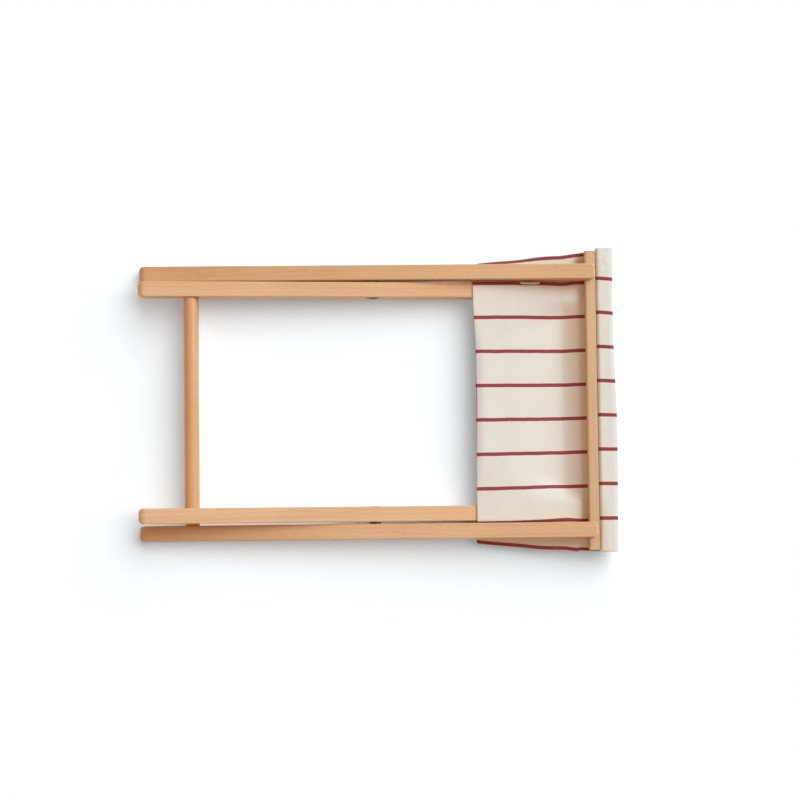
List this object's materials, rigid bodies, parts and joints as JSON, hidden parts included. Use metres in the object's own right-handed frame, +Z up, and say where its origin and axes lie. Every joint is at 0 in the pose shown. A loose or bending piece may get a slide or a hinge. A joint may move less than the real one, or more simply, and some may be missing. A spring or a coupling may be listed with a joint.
{
  "type": "folding stool",
  "caption": "Scissor-folding wooden stool with crossed leg frames on side pivots and a striped cloth seat slung between its top rails, folded flat.",
  "frame": {"origin": "middle of the underside of the folded stool, on the surface that it lies on", "axes": "+X from the feet towards the seat rails, +Y towards the left legs, +Z up from the surface that the folded stool lies on"},
  "size_m": [0.5474, 0.346, 0.0445],
  "materials": {
    "beech": "oiled beech, satin",
    "canvas": "cream canvas with narrow red stripes",
    "tab_tape": "plain woven tape, blank",
    "pivot_bronze": "dark bronze coated steel",
    "screw_steel": "zinc plated steel"
  },
  "bodies": {
    "inner_frame": {"inner_leg_left": "beech", "inner_leg_right": "beech", "inner_stretcher": "beech", "inner_seat_rail": "beech", "inner_rail_screw_left": "screw_steel", "inner_rail_screw_right": "screw_steel", "inner_cloth_batten": "beech", "inner_batten_screw_1": "screw_steel", "inner_batten_screw_2": "screw_steel", "inner_batten_screw_3": "screw_steel", "inner_sleeve": "canvas", "pivot_bolt_left": "pivot_bronze", "pivot_nut_left": "pivot_bronze", "pivot_washer_left": "pivot_bronze", "pivot_bolt_right": "pivot_bronze", "pivot_nut_right": "pivot_bronze", "pivot_washer_right": "pivot_bronze"},
    "outer_frame": {"outer_leg_left": "beech", "outer_leg_right": "beech", "outer_stretcher": "beech", "outer_seat_rail": "beech", "outer_rail_screw_left": "screw_steel", "outer_rail_screw_right": "screw_steel", "outer_cloth_batten": "beech", "outer_batten_screw_1": "screw_steel", "outer_batten_screw_2": "screw_steel", "outer_batten_screw_3": "screw_steel", "outer_sleeve": "canvas"},
    "seat_front": {"seat_front": "canvas", "label_tab": "tab_tape"},
    "seat_back": {"seat_back": "canvas"}
  },
  "joints": [
    {"name": "fold", "type": "hinge", "parent": "inner_frame", "child": "outer_frame", "pos_m": [-0.00582, 0, 0.02225], "axis": [0, -1, 0], "range_deg": [0, 69.5], "deforming": ["seat_front", "seat_back", "label_tab"]},
    {"name": "seat_front_edge", "type": "hinge", "parent": "outer_frame", "child": "seat_front", "pos_m": [0.27338, 0, 0.02422], "axis": [0, -1, 0], "range_deg": [0, 48.5]},
    {"name": "seat_back_edge", "type": "hinge", "parent": "inner_frame", "child": "seat_back", "pos_m": [0.27338, 0, 0.02029], "axis": [0, 1, 0], "range_deg": [0, 48.5]}
  ],
  "couplings": [
    {"joint": "seat_front_edge", "follows": "fold", "ratio": 0.6945},
    {"joint": "seat_back_edge", "follows": "fold", "ratio": 0.6945}
  ]
}
